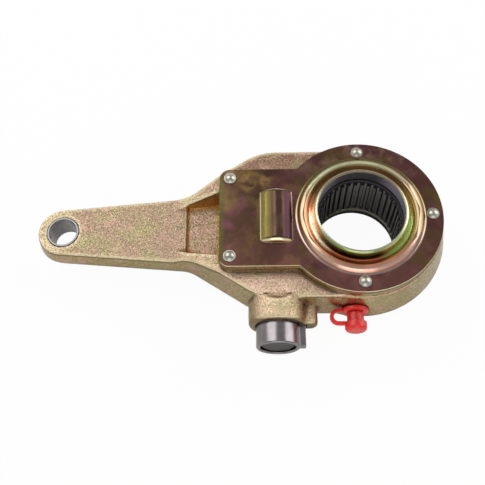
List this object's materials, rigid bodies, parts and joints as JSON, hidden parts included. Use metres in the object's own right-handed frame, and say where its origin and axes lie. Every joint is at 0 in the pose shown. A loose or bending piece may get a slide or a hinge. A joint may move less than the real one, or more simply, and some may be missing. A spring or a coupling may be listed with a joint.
{
  "type": "brake slack adjuster",
  "caption": "Cast lever with a splined worm wheel under riveted covers, turned by a worm shaft with a push-in lock sleeve; the arm ends in a bushed eye.",
  "frame": {"origin": "centre of the camshaft spline, in the middle plane of the body", "axes": "+Z along the camshaft out of the front cover, -X along the arm to its eye, -Y out of the lock sleeve"},
  "size_m": [0.2081, 0.1061, 0.0458],
  "materials": {
    "casting": "rough casting with yellow zinc plating",
    "bush_steel": "hardened, dark",
    "cover_zinc": "bright sheet with dark yellow zinc plating",
    "gasket": "matt",
    "rivet_steel": "bright",
    "wheel_steel": "dark, oiled",
    "seal_rubber": "matt",
    "gear_steel": "cut",
    "shaft_steel": "dark",
    "washer_brass": "rolled",
    "sleeve_steel": "turned",
    "spring_steel": "drawn",
    "plug_zinc": "yellow zinc plating",
    "nipple_brass": "plated",
    "cap_plastic": "moulded, slightly clear"
  },
  "bodies": {
    "housing": {"body": "casting", "lever_bush": "bush_steel", "front_cover": "cover_zinc", "rear_cover": "cover_zinc", "front_gasket": "gasket", "rear_gasket": "gasket", "cover_rivets": "rivet_steel", "front_seal": "seal_rubber", "rear_seal": "seal_rubber", "thrust_washers": "washer_brass", "lock_spring": "spring_steel", "spring_seat": "spring_steel", "end_plug": "plug_zinc", "grease_nipple": "nipple_brass", "nipple_spring": "spring_steel", "cap_ring": "cap_plastic", "cap_strap": "cap_plastic"},
    "wheel": {"worm_wheel": "wheel_steel"},
    "worm_group": {"worm": "gear_steel", "worm_shaft": "shaft_steel"},
    "sleeve": {"lock_sleeve": "sleeve_steel"},
    "check_ball": {"nipple_ball": "spring_steel"},
    "cap": {"dust_cap": "cap_plastic"}
  },
  "joints": [
    {"name": "wheel_turn", "type": "hinge", "parent": "housing", "child": "wheel", "pos_m": [0, 0, 0], "axis": [0, 0, 1], "continuous": true},
    {"name": "worm_turn", "type": "hinge", "parent": "housing", "child": "worm_group", "pos_m": [-0.0411, 0, 0], "axis": [0, 1, 0], "continuous": true},
    {"name": "sleeve_press", "type": "slide", "parent": "housing", "child": "sleeve", "axis": [0, 1, 0], "range_m": [0, 0.007], "stiffness_N_per_m": 3000, "springref_m": -0.008, "deforming": ["lock_spring"]},
    {"name": "cap_pull", "type": "slide", "parent": "housing", "child": "cap", "axis": [0, -1, 0], "range_m": [0, 0.014], "deforming": ["cap_strap"]},
    {"name": "ball_lift", "type": "slide", "parent": "housing", "child": "check_ball", "axis": [0, 1, 0], "range_m": [0, 0.0008], "stiffness_N_per_m": 200, "springref_m": -0.001, "deforming": ["nipple_spring"]}
  ],
  "couplings": [
    {"joint": "worm_turn", "follows": "wheel_turn", "ratio": 18}
  ]
}
